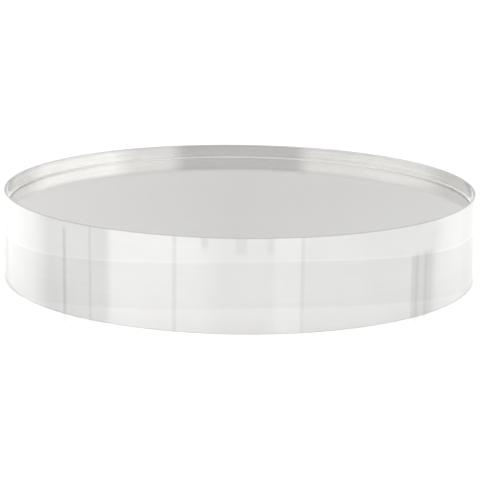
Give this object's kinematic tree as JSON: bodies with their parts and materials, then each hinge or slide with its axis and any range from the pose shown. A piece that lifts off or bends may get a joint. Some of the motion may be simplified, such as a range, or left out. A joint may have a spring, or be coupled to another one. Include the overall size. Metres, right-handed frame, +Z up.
{
  "type": "vanity tray",
  "caption": "Round raised vanity tray: a tall mirror-polished steel band around a mirror set just below its lip, on small soft feet.",
  "frame": {"origin": "centre of the underside, on the surface that the feet stand on", "axes": "+Z up, along the axis of the round band; +X to the right and -Y towards the viewer, with the feet on the diagonals between them"},
  "size_m": [0.3048, 0.3048, 0.0571],
  "materials": {
    "polished_steel": "mirror-polished stainless steel with fine lines around it",
    "mirror": "silvered float glass with a ground and polished edge",
    "silicone": "translucent white silicone",
    "fibreboard": "medium-density fibreboard, cut edges",
    "foam_pad": "white foam, adhesive on both faces",
    "ring_steel": "mill-finish rolled steel angle",
    "screw_steel": "bright zinc plate",
    "hardboard": "black-painted hardboard with a fine grain",
    "foot_rubber": "frosted clear polyurethane"
  },
  "bodies": {
    "root": {"outer_band": "polished_steel", "mirror_glass": "mirror", "edge_seal": "silicone", "mirror_pads": "foam_pad", "mirror_board": "fibreboard", "support_ring": "ring_steel", "board_screws": "screw_steel", "base_ring": "ring_steel", "base_panel": "hardboard", "panel_screws": "screw_steel", "feet": "foot_rubber"}
  },
  "joints": []
}
